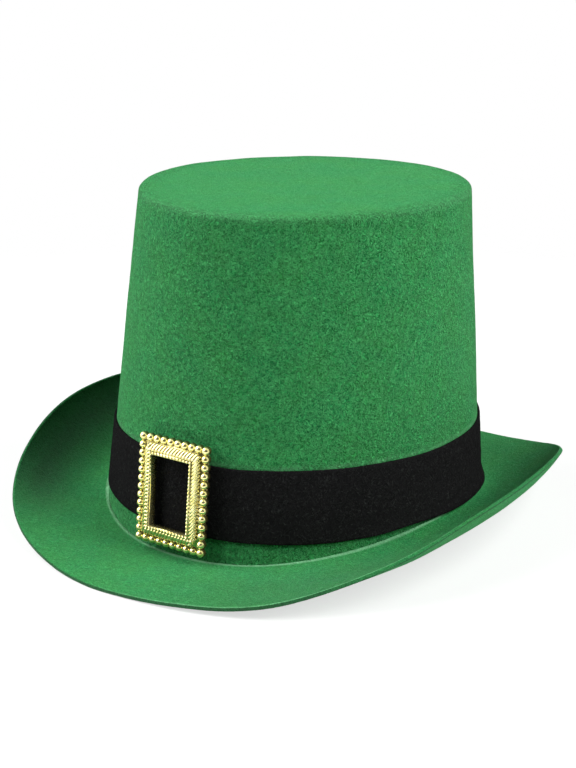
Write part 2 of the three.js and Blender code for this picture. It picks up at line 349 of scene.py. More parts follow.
def ruffle(points, normals, layers):
    """Moves points along their normals by smooth noise in layers of a wavelength and a height."""
    moved = np.array(points, float)
    for index, layer in enumerate(layers):
        step = 37.7 * (index + 1)
        shift = Vector((step, -step, step))
        values = [noise.noise(Vector(p / layer["wave"]) + shift) for p in points]
        moved += normals * (np.array(values)[:, None] * layer["height"])
    return moved


def grid_normals(grid):
    """Normals of a grid of points whose columns close on themselves."""
    along = np.gradient(grid, axis=0)
    across = np.roll(grid, -1, axis=1) - np.roll(grid, 1, axis=1)
    normals = np.cross(across, along)
    length = np.linalg.norm(normals, axis=-1, keepdims=True)
    return normals / np.maximum(length, 1e-9)


# Materials


class Nodes:
    """Builds a material's node tree in few words."""

    def __init__(self, name):
        self.material = bpy.data.materials.new(name)
        self.material.use_nodes = True
        self.tree = self.material.node_tree
        self.shader = self.tree.nodes["Principled BSDF"]

    def add(self, kind, **inputs):
        node = self.tree.nodes.new(kind)
        for key, value in inputs.items():
            if hasattr(node, key):
                setattr(node, key, value)
            else:
                node.inputs[key.replace("_", " ")].default_value = value
        return node

    def link(self, source, target):
        self.tree.links.new(source, target)

    def place(self):
        return self.add("ShaderNodeTexCoord").outputs["Object"]

    def noise(self, place, scale, detail=4.0, roughness=0.6, distortion=0.0):
        node = self.add(
            "ShaderNodeTexNoise", Scale=scale, Detail=detail, Roughness=roughness, Distortion=distortion
        )
        self.link(place, node.inputs["Vector"])
        return node.outputs["Fac"]

    def ramp(self, value, low, high, to_low=0.0, to_high=1.0):
        node = self.add("ShaderNodeMapRange")
        for key, number in (
            ("From Min", low), ("From Max", high), ("To Min", to_low), ("To Max", to_high)
        ):
            node.inputs[key].default_value = number
        self.link(value, node.inputs["Value"])
        return node.outputs["Result"]

    def math(self, operation, first, second):
        node = self.add("ShaderNodeMath", operation=operation)
        for socket, value in zip(node.inputs, (first, second)):
            if isinstance(value, (int, float)):
                socket.default_value = value
            else:
                self.link(value, socket)
        return node.outputs[0]

    def colour(self, factor, first, second):
        """Mixes two colours, each a tuple or another node's output."""
        node = self.add("ShaderNodeMix", data_type="RGBA", blend_type="MIX")
        sockets = (node.inputs[0], node.inputs[6], node.inputs[7])
        for socket, value in zip(sockets, (factor, first, second)):
            if isinstance(value, (int, float)):
                socket.default_value = value
            elif isinstance(value, tuple):
                socket.default_value = (*value, 1.0)
            else:
                self.link(value, socket)
        return node.outputs[2]

    def strands(self, place, scale, width, distortion):
        """Thin curly lines, where a distorted noise passes its middle value."""
        value = self.noise(place, scale, 2.0, 0.5, distortion)
        centred = self.math("ABSOLUTE", self.math("SUBTRACT", value, 0.5), 0.0)
        return self.ramp(centred, 0.0, width, 1.0, 0.0)

    def share(self, value, factor):
        return self.math("MULTIPLY", value, factor)

    def bump(self, height, distance, strength):
        node = self.add("ShaderNodeBump", Strength=strength, Distance=distance)
        self.link(height, node.inputs["Height"])
        self.link(node.outputs["Normal"], self.shader.inputs["Normal"])

    def attribute(self, name):
        return self.add("ShaderNodeAttribute", attribute_name=name).outputs["Fac"]

    def set(self, **values):
        for key, value in values.items():
            self.shader.inputs[key.replace("_", " ")].default_value = value


# Linear colours of the green felt
GREEN_LOW = (0.008, 0.120, 0.026)
GREEN_HIGH = (0.038, 0.318, 0.084)
GREEN_YELLOW = (0.046, 0.225, 0.040)
GREEN_BLUE = (0.010, 0.190, 0.090)
GREEN_FIBRE = (0.088, 0.515, 0.158)
GREEN_PIT = (0.006, 0.075, 0.020)
# Painted shade: the colour that darkens creases, under faces, the shaded cut edge and the inside of the
# curl
GREEN_PAINTED_SHADE = (0.020, 0.052, 0.028)
# Painted highlight: the pale colour of light lines along edges and creases
GREEN_PAINTED_HIGHLIGHT = (0.22, 0.53, 0.28)
GREEN_SHEEN = (0.60, 1.0, 0.70)

# Linear colours of the black felt
BLACK_LOW = (0.0046, 0.0045, 0.0047)
BLACK_HIGH = (0.0115, 0.0113, 0.0115)
BLACK_FIBRE = (0.045, 0.048, 0.046)
BLACK_LINT = (0.016, 0.016, 0.018)

# Linear colours of the gold
GOLD_LOW = (0.84, 0.75, 0.27)
GOLD_HIGH = (0.94, 0.88, 0.43)
# Painted shade in the recesses of the buckle's relief
GOLD_GROOVE_SHADE = (0.085, 0.062, 0.006)


def green_felt():
    """Brushed green felt: curly raised fibres over a darker ground, most of them on the wall, with
    painted shade and painted highlights read from point attributes.
    """
    n = Nodes("green_felt")
    place = n.place()
    nap = n.attribute("nap")
    patches = n.noise(place, 48.0, 3.0, 0.6)
    ground = n.noise(place, 760.0, 1.0, 0.5, 0.8)
    fibres = n.strands(place, 430.0, 0.085, 2.0)
    fine = n.strands(place, 640.0, 0.08, 1.4)
    spread = n.share(n.math("SUBTRACT", n.ramp(ground, 0.40, 0.60), 0.5), nap)
    shade = n.colour(n.math("ADD", spread, 0.5), GREEN_LOW, GREEN_HIGH)
    yellow = n.colour(0.18, shade, GREEN_YELLOW)
    blue = n.colour(0.14, shade, GREEN_BLUE)
    shade = n.colour(n.ramp(patches, 0.36, 0.64), blue, yellow)
    shade = n.colour(n.share(n.share(fibres, 0.80), nap), shade, GREEN_FIBRE)
    shade = n.colour(n.share(n.share(fine, 0.45), nap), shade, GREEN_PIT)
    # Painted shade, read from the point attribute that the pieces paint
    shade = n.colour(n.share(n.attribute("painted_shade"), 0.8), shade, GREEN_PAINTED_SHADE)
    # Painted highlight, read from the point attribute that the pieces paint
    shade = n.colour(n.share(n.attribute("painted_highlight"), 0.8), shade, GREEN_PAINTED_HIGHLIGHT)
    n.link(shade, n.shader.inputs["Base Color"])
    relief = n.math("ADD", n.share(ground, 0.9), n.share(fibres, 0.5))
    raised = n.math("ADD", n.share(nap, 0.8), 0.2)
    n.bump(n.share(relief, raised), 0.0013, 1.0)
    n.set(Roughness=0.95, Sheen_Weight=0.10, Sheen_Roughness=0.5, Specular_IOR_Level=0.04)
    n.shader.inputs["Sheen Tint"].default_value = (*GREEN_SHEEN, 1.0)
    return n.material


def black_felt():
    """Matte black felt: a few grey fibres and lint over a nearly even ground."""
    n = Nodes("black_felt")
    place = n.place()
    ground = n.noise(place, 620.0, 4.0, 0.7)
    fibres = n.strands(place, 290.0, 0.035, 2.4)
    fine = n.strands(place, 560.0, 0.05, 1.6)
    shade = n.colour(n.ramp(ground, 0.3, 0.7), BLACK_LOW, BLACK_HIGH)
    shade = n.colour(n.share(fibres, 0.7), shade, BLACK_FIBRE)
    shade = n.colour(n.share(fine, 0.35), shade, BLACK_LINT)
    n.link(shade, n.shader.inputs["Base Color"])
    relief = n.math("ADD", n.share(ground, 0.7), n.share(fibres, 0.5))
    n.bump(relief, 0.0009, 0.9)
    n.set(Roughness=1.0, Specular_IOR_Level=0.0)
    return n.material


def gold_plastic():
    """Metallised pale gold, with painted shade of a dark olive in the recesses of the relief."""
    n = Nodes("gold_plastic")
    place = n.place()
    wobble = n.noise(place, 320.0, 3.0, 0.5)
    grain = n.noise(place, 2600.0, 3.0, 0.6)
    tone = n.colour(n.ramp(wobble, 0.35, 0.65), GOLD_LOW, GOLD_HIGH)
    # Painted shade: the recesses of the relief darkened towards a dark olive
    tone = n.colour(n.share(n.attribute("groove_shade"), 0.9), tone, GOLD_GROOVE_SHADE)
    n.link(tone, n.shader.inputs["Base Color"])
    n.link(n.ramp(grain, 0.3, 0.7, 0.08, 0.16), n.shader.inputs["Roughness"])
    n.bump(wobble, 0.0002, 0.4)
    n.set(Metallic=0.82)
    return n.material


# Crown

CROWN_COLUMNS = 360
CROWN_RUFFLE = [
    {"wave": 70.0, "height": 0.55},
    {"wave": 24.0, "height": 0.22},
    {"wave": 6.0, "height": 0.07},
]
TOP_NAP = 0.3
RIM_NAP = 0.85


def crown_rows(angles, inset, foot, rows, round_rows, top_rows):
    """Rows of points of one face of the crown, from its foot to the middle of its top."""
    share = np.linspace(0, 1, rows + 1)[:, None]
    heights = mix(foot[None], WALL_TOP, share)
    wall = wall_point(angles[None], heights, -inset)
    half_length, half_width, power, set_back = wall_at(CROWN_HEIGHT)
    radius = TOP_ROUNDING if inset == 0 else TOP_ROUNDING * 0.5
    bend = (np.arange(1, round_rows + 1) / round_rows * math.pi / 2)[:, None]
    inward = inset + radius * (1 - np.cos(bend))
    height = CROWN_HEIGHT - inset - radius * (1 - np.sin(bend))
    if inset:
        wall = wall[:-1]
    corner = oval_point(
        angles[None], half_length - inward, half_width - inward, power, set_back, height
    )
    shrink = np.cos(np.linspace(0, math.pi / 2, top_rows + 1)[1:-1])[:, None, None]
    middle = np.array([0, set_back, CROWN_HEIGHT - inset])
    top = middle + (corner[-1][None] - middle) * shrink
    grid = np.concatenate([wall, corner, top])
    lift = np.clip((grid[..., 2] - BAND_TOP) / (CROWN_HEIGHT - BAND_TOP), 0, 1)
    radial = np.hypot(grid[..., 0] / half_width, (grid[..., 1] - set_back) / half_length)
    grid[..., 2] += TOP_SADDLE * lift * (2 * np.sin(angles[None]) ** 2 - 1) * np.clip(radial, 0, 1) ** 2
    return grid, middle


def make_crown(material):
    columns = CROWN_COLUMNS
    angles = ring_angles(columns)
    points, _, normals = brim_frames(angles, 60)
    foot = (points - normals * FELT / 2)[..., 2].min(axis=0) + GAP
    outer, top = crown_rows(angles, 0.0, foot, 96, 8, 36)
    free = smoothstep(outer[..., 2:], BAND_TOP - 4, BAND_TOP + 14)
    normals = grid_normals(outer) * free
    moved = ruffle(outer.reshape(-1, 3), normals.reshape(-1, 3), CROWN_RUFFLE)
    outer = moved.reshape(outer.shape)
    inner, under = crown_rows(angles, FELT, foot, 40, 3, 10)
    grid = np.concatenate([inner[::-1], outer])
    rows = grid.shape[0]
    points = np.concatenate([grid.reshape(-1, 3), [under, top]])
    faces = skin_faces(rows, columns)
    last = (rows - 1) * columns
    for column in range(columns):
        right = (column + 1) % columns
        faces.append((rows * columns, right, column))
        faces.append((rows * columns + 1, last + column, last + right))
    piece = make_piece("felt_crown", points, faces, material, "crown")
    height = points[:, 2]
    half_length, half_width, _, set_back = wall_at(CROWN_HEIGHT)
    rim = np.hypot(points[:, 0] / half_width, (points[:, 1] - set_back) / half_length)
    # Painted highlight along the top's rounded edge
    top_rim_highlight = np.clip(1 - np.abs(height - WALL_TOP - TOP_ROUNDING * 0.6) / 3.0, 0, 1)
    painted_highlight = 0.14 * top_rim_highlight * np.clip((rim - 0.93) / 0.05, 0, 1)
    around = np.arctan2(points[:, 0], set_back - points[:, 1])
    band_top = BAND_TOP + np.interp(around % TURN, angles, wave_at(BAND_WAVES, angles, "top"))
    # A thin painted highlight just above the band's top edge
    painted_highlight += 0.3 * np.clip(1 - np.abs(height - band_top - 0.9) / 1.1, 0, 1)
    # Painted shade on the crown's foot, below the band
    painted_shade = 0.12 * smoothstep(-height, -BAND_BOTTOM - 2.5, -BAND_BOTTOM)
    paint(piece, "painted_highlight", painted_highlight)
    paint(piece, "painted_shade", painted_shade)
    on_top = smoothstep(height, WALL_TOP, CROWN_HEIGHT)
    top_nap = mix(TOP_NAP, RIM_NAP, smoothstep(rim, 0.84, 0.97))
    paint(piece, "nap", mix(1.0, top_nap, on_top))


# Brim

BRIM_COLUMNS = 400
BRIM_STEPS = 56
MARGIN_SHARE = 0.16
BRIM_RUFFLE = [{"wave": 18.0, "height": 0.12}, {"wave": 5.0, "height": 0.04}]
BRIM_NAP = 0.42

# Where painted highlights and painted shade lie on the brim's felt, and where its cut edge is lit:
# degrees round the hat and a strength
EDGE_HIGHLIGHT = {"centre": 66, "half": 48, "soft": 28, "strength": 0.5}
EDGE_LIT = {"centre": 100, "half": 40, "soft": 25, "strength": 1.0}
CREASE_HIGHLIGHT = {"centre": 20, "half": 30, "soft": 30, "strength": 0.65}
CURL_PAINTED_SHADE = {"centre": 266, "half": 38, "soft": 28, "strength": 1.0}
FRONT_PAINTED_SHADE = {"centre": 43, "half": 12, "soft": 30, "strength": 0.36}


def arc_strength(angles, arc):
    return arc["strength"] * arc_share(angles, arc["centre"], arc["half"], arc["soft"])


def edge_points(point, tangent, normal, way):
    """The rounded cut edge at one end of the brim's section, from its under face to its upper."""
    rows = []
    flat = FELT / 2 - EDGE_ROUND
    for step in range(5):
        bend = step / 4 * math.pi / 2
        side = -flat - EDGE_ROUND * math.cos(bend)
        along = -EDGE_ROUND * (1 - math.sin(bend))
        rows.append((side, along))
    rows += [(-side, along) for side, along in reversed(rows)]
    return [point + normal * side + tangent * way * along for side, along in rows]


def make_brim(material):
    columns, steps = BRIM_COLUMNS, BRIM_STEPS
    angles = ring_angles(columns)
    points, tangents, normals = brim_frames(angles, steps)
    margin = np.clip(1 - np.arange(steps + 1) / steps / MARGIN_SHARE, 0, 1)[:, None]
    thin = (1 - LIP_THIN) * margin * side_share(angles, LIP_POWER)
    half = (FELT / 2 * (1 - thin))[..., None]
    points = points - normals * (FELT / 2 - half)
    under = points - normals * half
    upper = points + normals * half
    outer_edge = edge_points(points[-1], tangents[-1], normals[-1], 1)
    inner_edge = edge_points(points[0], tangents[0], normals[0], -1)
    grid = np.array([*under[1:-1], *outer_edge, *upper[1:-1][::-1], *inner_edge[::-1]])
    rows = grid.shape[0]
    margin_edge = grid[-len(inner_edge) :]
    pressed = wall_point(angles[None], margin_edge[..., 2], TOUCH)
    flatness = np.cos(LIP_ANGLE * side_share(angles, LIP_POWER))[None, :, None]
    margin_edge[..., :2] = mix(margin_edge, pressed, flatness)[..., :2]
    outward = grid_normals(np.concatenate([grid[-1:], grid, grid[:1]]))[1:-1]
    moved = ruffle(grid.reshape(-1, 3), outward.reshape(-1, 3), BRIM_RUFFLE)
    moved[:, 2] = np.maximum(moved[:, 2], 0)
    faces = skin_faces(rows, columns, closed_rows=True)
    piece = make_piece("felt_brim", moved, faces, material, "brim")
    # The rows run over the under face, the outer cut edge, the upper face and the inner cut edge
    cut = steps - 1
    upper_face = slice(cut + len(outer_edge), -len(inner_edge))
    painted_highlight = np.zeros((rows, columns))
    # Painted highlight along the outer edge's upper corner, a painted highlight line at the crease, and
    # on the inner edge's upper rounding
    painted_highlight[cut + 7 : upper_face.start] = arc_strength(angles, EDGE_HIGHLIGHT)
    painted_highlight[-12] = arc_strength(angles, CREASE_HIGHLIGHT)
    painted_highlight[-11:-6] = 0.9
    lit = arc_strength(angles, EDGE_LIT)
    inward = np.arange(steps - 1)[:, None] / steps
    # Painted shade across the inner face of the curl, strongest partway up
    curl = mix(0.66, 0.90, smoothstep(inward, 0.06, 0.30)) * smoothstep(inward, 0.74, 0.24)
    painted_shade = np.zeros((rows, columns))
    # Painted shade on the under face, and on the outer cut edge except where it is lit
    painted_shade[:cut] = 0.15
    painted_shade[cut : cut + 3] = 0.9
    painted_shade[cut + 3 : cut + 6] = mix(0.9, 0.3, lit)
    painted_shade[cut + 6] = mix(0.8, 0.1, lit)
    # Painted shade on the inner face of the curl on the wearer's right, and on the front of the brim
    # towards the wearer's left
    painted_shade[upper_face] = curl * arc_strength(angles, CURL_PAINTED_SHADE)
    painted_shade[upper_face] += smoothstep(inward, 0.90, 0.40) * arc_strength(angles, FRONT_PAINTED_SHADE)
    paint(piece, "painted_highlight", painted_highlight)
    paint(piece, "painted_shade", painted_shade)
    paint(piece, "nap", np.full((rows, columns), BRIM_NAP))


# Band

BAND_COLUMNS = 480
BAND_ROWS = 26
BAND_RUFFLE = [{"wave": 16.0, "height": 0.10}, {"wave": 4.0, "height": 0.05}]
FOOT_LEVEL = BAND_BOTTOM - GAP - FOOT_HEIGHT
BAR_STACK = GAP + BAR_THICKNESS


def front_at(height):
    """How far in front the crown's wall stands at a height."""
    half_length, _, _, set_back = wall_at(height)
    return half_length - set_back


LEAN = math.atan2(front_at(FOOT_LEVEL) - front_at(BAND_TOP), BAND_TOP - FOOT_LEVEL)


def seat_at(height):
    """How far in front the straight back of the buckle stands at a height."""
    return front_at(FOOT_LEVEL) - (height - FOOT_LEVEL) * math.tan(LEAN)


def bar_lift(across, height):
    """How far the band stands off over the buckle's bar, across the front."""
    half_length, half_width, _, _ = wall_at(height)
    stack = BAR_STACK + np.maximum(0, seat_at(height) - front_at(height))
    reach = np.sqrt(2 * half_width**2 / half_length * stack)
    beyond = np.maximum(0, np.abs(across) - BAR_WIDTH / 2 - GAP)
    return stack * np.maximum(0, 1 - beyond / reach) ** 2


def make_band(material):
    columns, rows = BAND_COLUMNS, BAND_ROWS
    angles = ring_angles(columns)
    arch = headline_arch(angles)
    arch_full = BAND_BOTTOM - FELT - GAP
    flare = smoothstep(arch, FLARE_START * arch_full, arch_full) * EASE_OUT
    cover = np.maximum(arch + FELT, BAND_BOTTOM) + GAP
    wave = [noise.noise(Vector((math.sin(a) * 3.1, math.cos(a) * 3.1, 4.0))) for a in angles]
    wave_low = [noise.noise(Vector((math.sin(a) * 3.7, math.cos(a) * 3.7, 9.0))) for a in angles]
    top = BAND_TOP + wave_at(BAND_WAVES, angles, "top") + 0.3 * np.array(wave)
    bottom = BAND_BOTTOM + wave_at(BAND_WAVES, angles, "bottom") + 0.2 * np.array(wave_low)
    share = np.linspace(0, 1, rows + 1)[:, None]
    height = mix(bottom[None], top[None], share)
    eased = (1 - np.clip((height - cover[None]) / FLARE_HEIGHT, 0, 1)) ** FLARE_POWER
    front = np.where(np.cos(angles) > 0, 1.0, 0.0)
    lift = bar_lift(wall_point(angles[None], height, 0)[..., 0], height) * front
    stand_off = TOUCH + lift + flare[None] * eased
    inner = wall_point(angles[None], height, stand_off)
    outer = wall_point(angles[None], height, stand_off + RIBBON)
    middle = (inner + outer) / 2
    out = (outer - inner) / RIBBON
    half = RIBBON / 2
    bend = np.linspace(-math.pi / 2, math.pi / 2, 7)
    up = np.array([0, 0, 1.0])
    cap_top = [
        middle[-1] + out[-1] * half * math.cos(b + math.pi / 2) * -1 + up * (half * 0.5 * math.cos(b))
        for b in bend[::-1][1:-1]
    ]
    cap_bottom = [
        middle[0] + out[0] * half * math.cos(b + math.pi / 2) * -1 - up * (half * 0.5 * math.cos(b))
        for b in bend[1:-1]
    ]
    grid = np.array([*outer, *cap_top, *inner[::-1], *cap_bottom])
    outward = grid_normals(np.concatenate([grid[-1:], grid, grid[:1]]))[1:-1]
    moved = ruffle(grid.reshape(-1, 3), outward.reshape(-1, 3), BAND_RUFFLE)
    faces = skin_faces(grid.shape[0], columns, closed_rows=True)
    faces = [face[::-1] for face in faces]
    piece = make_piece("felt_band", moved, faces, material, "band")


# Buckle. It lies in its own plane: x across, y up, z out from the crown's face behind it.

HALF_WIDE = BEADS_WIDE * BEAD_PITCH / 2
HALF_HIGH = BEADS_HIGH * BEAD_PITCH / 2
FRAME_BACK = BAR_STACK + GAP + RIBBON + GAP
BEAD_LEVEL = FRAME_BACK + BEAD_SEAT
LIP_LEVEL = BEAD_LEVEL + LIP_PROUD


class Shells:
    """Collects closed shells into one mesh."""

    def __init__(self):
        self.points = []
        self.faces = []
        self.groove_shades = []

    def add(self, points, faces, groove_shades):
        start = len(self.points)
        self.points += [tuple(p) for p in points]
        self.faces += [tuple(start + index for index in face) for face in faces]
        self.groove_shades += list(groove_shades)

    def rings(self, rings, groove_shades, end_groove_shades):
        """A shell of rings, each end closed by a point."""
        rings = [np.asarray(ring) for ring in rings]
        columns = len(rings[0])
        faces = skin_faces(len(rings), columns)
        points = [p for ring in rings for p in ring]
        first, last = rings[0].mean(axis=0), rings[-1].mean(axis=0)
        points += [first, last]
        end = (len(rings) - 1) * columns
        for column in range(columns):
            right = (column + 1) % columns
            faces.append((len(points) - 2, right, column))
            faces.append((len(points) - 1, end + column, end + right))
        self.add(points, faces, [*np.ravel(groove_shades), *end_groove_shades])


def sunk(rings, bottom, top):
    """How much painted shade each point of some rings gets, from 1 at bottom to 0 at top."""
    return 1 - smoothstep(np.asarray(rings)[..., 2], bottom, top)


def rolled(steps):
    """How much painted shade each point round a roll gets, from 1 below to 0 on top."""
    return 1 - smoothstep(np.sin(ring_angles(steps)), 0.0, 0.8)


def frame_level(height):
    return mix(FRAME_BACK, LIP_LEVEL, height)


def add_frame(shells):
    """The frame's section, run round the window with mitred corners."""
    profile = [(0.0, FRAME_BACK)]
    profile += [(row["side"] * FRAME_SIDE, frame_level(row["height"])) for row in FRAME_SECTION]
    rim = FRAME_SIDE + FRAME_RIM
    level = BEAD_LEVEL - FRAME_RIM
    profile += [(rim - RIM_CHAMFER, level), (rim, level - RIM_CHAMFER), (rim, FRAME_BACK)]
    corners = [(-1, -1), (1, -1), (1, 1), (-1, 1)]
    points = []
    for side, level in profile:
        for x, y in corners:
            wide = x * (HALF_WIDE - FRAME_SIDE + side)
            high = y * (HALF_HIGH - FRAME_SIDE + side)
            points.append((wide, high, level))
    faces = skin_faces(len(profile), 4, closed_rows=True)
    lip = FRAME_SECTION[4]["side"] * FRAME_SIDE
    # Painted shade on the frame: light on the lip, half strength on the rest
    groove_shades = [0.1 if side < lip else 0.5 for side, _ in profile for _ in corners]
    shells.add(points, [face[::-1] for face in faces], groove_shades)


def add_bead(shells, x, y):
    """One bead: a dome on a short cylinder that ends in the frame."""
    sides, domes = 24, 8
    rings = [(BEAD_RADIUS * 0.96, -BEAD_SEAT)]
    for step in range(domes):
        rise = step / domes * math.pi / 2
        rings.append((BEAD_RADIUS * math.cos(rise), BEAD_RADIUS * math.sin(rise)))
    rings.append((BEAD_TIP, BEAD_RADIUS))
    circles = []
    for radius, level in rings:
        circles.append(
            [
                (x + radius * math.cos(a), y + radius * math.sin(a), BEAD_LEVEL + level)
                for a in ring_angles(sides)
            ]
        )
    shells.rings(circles, sunk(circles, BEAD_LEVEL - 0.2, BEAD_LEVEL + 0.7), (1.0, 0.0))


def add_beads(shells):
    for column in range(BEADS_WIDE + 1):
        for row in range(BEADS_HIGH + 1):
            if 0 < column < BEADS_WIDE and 0 < row < BEADS_HIGH:
                continue
            add_bead(shells, column * BEAD_PITCH - HALF_WIDE, row * BEAD_PITCH - HALF_HIGH)


def frame_sides():
    """The four sides of the frame: the way out from the window, and half the window's run."""
    return [
        ((1, 0), HALF_HIGH),
        ((-1, 0), HALF_HIGH),
        ((0, 1), HALF_WIDE),
        ((0, -1), HALF_WIDE),
    ]


def add_strand(shells, middle, direction, out, length):
    """One strand of the rope: a tapered, slightly S-shaped roll across the frame's slope."""
    sides, steps = 10, 10
    across = np.cross(out, direction)
    across /= np.linalg.norm(across)
    rings = []
    for step in range(steps + 1):
        u = -1 + 2 * step / steps
        centre = middle + direction * (u * length / 2) + across * (0.22 * math.sin(math.pi * u))
        swell = math.sqrt(max(0.0, 1 - (abs(u) * 0.97) ** 2.6))
        wide, high = 0.86 * swell + 0.04, 0.95 * swell + 0.04
        rings.append(
            [
                centre + across * (wide * math.cos(a)) + out * (high * math.sin(a))
                for a in ring_angles(sides)
            ]
        )
    shells.rings(rings, [rolled(sides)] * len(rings), (1.0, 1.0))


def add_ropes(shells):
    inner, outer = FRAME_SECTION[5], FRAME_SECTION[6]
    width = (outer["side"] - inner["side"]) * FRAME_SIDE + 1.5
    middle = (inner["side"] + outer["side"]) / 2 * FRAME_SIDE + 0.05
    drop = (inner["height"] - outer["height"]) * (LIP_LEVEL - FRAME_BACK)
    tilt = math.atan2(drop, (outer["side"] - inner["side"]) * FRAME_SIDE)
    level = frame_level((inner["height"] + outer["height"]) / 2)
    for (out_x, out_y), half in frame_sides():
        run = half - FRAME_SIDE + middle
        count = round(2 * run / ROPE_PITCH)
        reach_x = HALF_WIDE - FRAME_SIDE + middle
        reach_y = HALF_HIGH - FRAME_SIDE + middle
        outward = math.cos(ROPE_SLANT) * out_x + math.sin(ROPE_SLANT) * out_y
        direction = np.array([math.cos(ROPE_SLANT), math.sin(ROPE_SLANT), -outward * math.tan(tilt)])
        length = width / abs(outward) / math.cos(tilt) * 0.98
        direction /= np.linalg.norm(direction)
        normal = np.array([out_x * math.sin(tilt), out_y * math.sin(tilt), math.cos(tilt)])
        for index in range(count):
            along = (index + 0.5) / count * 2 * run - run
            centre = np.array(
                [out_x * reach_x + abs(out_y) * along, out_y * reach_y + abs(out_x) * along, level]
            )
            add_strand(shells, centre, direction, normal, length)


def add_dot(shells, x, y, z, radius):
    rings = []
    for step in range(1, 8):
        polar = math.pi * step / 8
        ring = radius * math.sin(polar)
        rings.append(
            [
                (x + ring * math.cos(a), y + ring * math.sin(a), z - radius * math.cos(polar))
                for a in ring_angles(12)
            ]
        )
    shells.rings(rings, sunk(rings, z - 0.1 * radius, z + 0.6 * radius), (1.0, 0.0))


def add_dots(shells):
    """The fine row of dots along the lip round the window."""
    side = 0.1 * FRAME_SIDE
    level = frame_level(0.93)
    for (out_x, out_y), half in frame_sides():
        run = half - FRAME_SIDE + side
        count = round(2 * run / DOT_PITCH)
        for index in range(count + 1):
            along = index / count * 2 * run - run
            if abs(out_y) and index in (0, count):
                continue
            x = out_x * (HALF_WIDE - FRAME_SIDE + side) + abs(out_y) * along
            y = out_y * (HALF_HIGH - FRAME_SIDE + side) + abs(out_x) * along
            add_dot(shells, x, y, level, DOT_RADIUS)


def add_box(shells, low, high):
    x0, y0, z0 = low
    x1, y1, z1 = high
    ring = [(x0, y0), (x1, y0), (x1, y1), (x0, y1)]
    points = [(x, y, z) for z in (z0, z1) for x, y in ring]
    faces = [(3, 2, 1, 0), (4, 5, 6, 7), (0, 1, 5, 4), (1, 2, 6, 5), (2, 3, 7, 6), (3, 0, 4, 7)]
    # Painted shade on the hidden bar and its feet
    shells.add(points, faces, [0.6] * len(points))


def add_bar(shells):
    window = HALF_HIGH - FRAME_SIDE
    band_rise = (BAND_TOP - BUCKLE_HEIGHT) / math.cos(LEAN)
    band_drop = (BUCKLE_HEIGHT - BAND_BOTTOM) / math.cos(LEAN) + FRAME_BACK * math.tan(LEAN)
    upper = max(band_rise + GAP, window)
    lower = -max(band_drop + GAP, window)
    half = BAR_WIDTH / 2
    add_box(shells, (-half, lower - FOOT_HEIGHT, GAP), (half, upper + FOOT_HEIGHT, BAR_STACK))
    add_box(shells, (-half, upper, GAP), (half, upper + FOOT_HEIGHT, BEAD_LEVEL))
    add_box(shells, (-half, lower - FOOT_HEIGHT, GAP), (half, lower, BEAD_LEVEL))


def make_buckle(material):
    shells = Shells()
    add_frame(shells)
    add_beads(shells)
    add_ropes(shells)
    add_dots(shells)
    add_bar(shells)
    turn = Matrix.Rotation(math.pi / 2 - LEAN, 4, "X")
    place = Matrix.Translation((0, -seat_at(BUCKLE_HEIGHT), BUCKLE_HEIGHT)) @ turn
    points = [tuple(place @ Vector(p)) for p in shells.points]
    piece = make_piece("gold_buckle", points, shells.faces, material, "buckle")
    # Painted shade in the relief's recesses, for the material to read
    paint(piece, "groove_shade", shells.groove_shades)
    with bpy.context.temp_override(object=piece, active_object=piece, selected_editable_objects=[piece]):
        bpy.ops.object.shade_auto_smooth(angle=SHARP_ANGLE)


# Studio

CAMERA_AZIMUTH = math.radians(34.978)
CAMERA_ELEVATION = math.radians(17.706)
CAMERA_ROLL = math.radians(0.143)
CAMERA_DISTANCE = 781.2
CAMERA_FOCUS = 1534.5
CAMERA_SIDE = -5.41
CAMERA_AIM = 59.22
FRAME_LONG_SIDE = 768
SENSOR = 36.0

# Lights: degrees and metres, the azimuth from the camera's side
LIGHT_ELEVATION = 38
LIGHT_DISTANCE = 1.3
LIGHT_AIM = 0.07
LEFT_AZIMUTH = -88
LEFT_SIZE = 1.2
LEFT_POWER = 30.5
RIGHT_AZIMUTH = 70
RIGHT_SIZE = 1.0
RIGHT_POWER = 27.5

# Surroundings: the tent that gold reflects, dark within an angle of LENS_SIDE
LENS_SIDE = (0.546, -0.781, 0.304)
DARK_OUTER = math.radians(47)
DARK_INNER = math.radians(40)
TENT_LIGHT = 0.92
TENT_DARK = 0.01
FELT_LIGHT = 0.03

# Floor: metres, and the share of it that camera rays pass through
FLOOR_HALF = 1.0
FADE_START = 0.25
FADE_END = 0.62
FLOOR_CLEAR = 0.65


def make_camera():
    azimuth, elevation = CAMERA_AZIMUTH, CAMERA_ELEVATION
    back = Vector(
        (
            math.sin(azimuth) * math.cos(elevation),
            -math.cos(azimuth) * math.cos(elevation),
            math.sin(elevation),
        )
    )
    right = Vector((math.cos(azimuth), math.sin(azimuth), 0))
    up = back.cross(right)
    target = right * CAMERA_SIDE + Vector((0, CROWN_SET_BACK, CAMERA_AIM))
    eye = target + back * CAMERA_DISTANCE
    roll_right = right * math.cos(CAMERA_ROLL) + up * math.sin(CAMERA_ROLL)
    roll_up = up * math.cos(CAMERA_ROLL) - right * math.sin(CAMERA_ROLL)
    data = bpy.data.cameras.new("camera")
    data.sensor_width = SENSOR
    data.lens = CAMERA_FOCUS * SENSOR / FRAME_LONG_SIDE
    camera = bpy.data.objects.new("camera", data)
    bpy.context.scene.collection.objects.link(camera)
    axes = Matrix((roll_right, roll_up, back)).transposed().to_4x4()
    camera.matrix_world = Matrix.Translation(eye * MM) @ axes
    bpy.context.scene.camera = camera


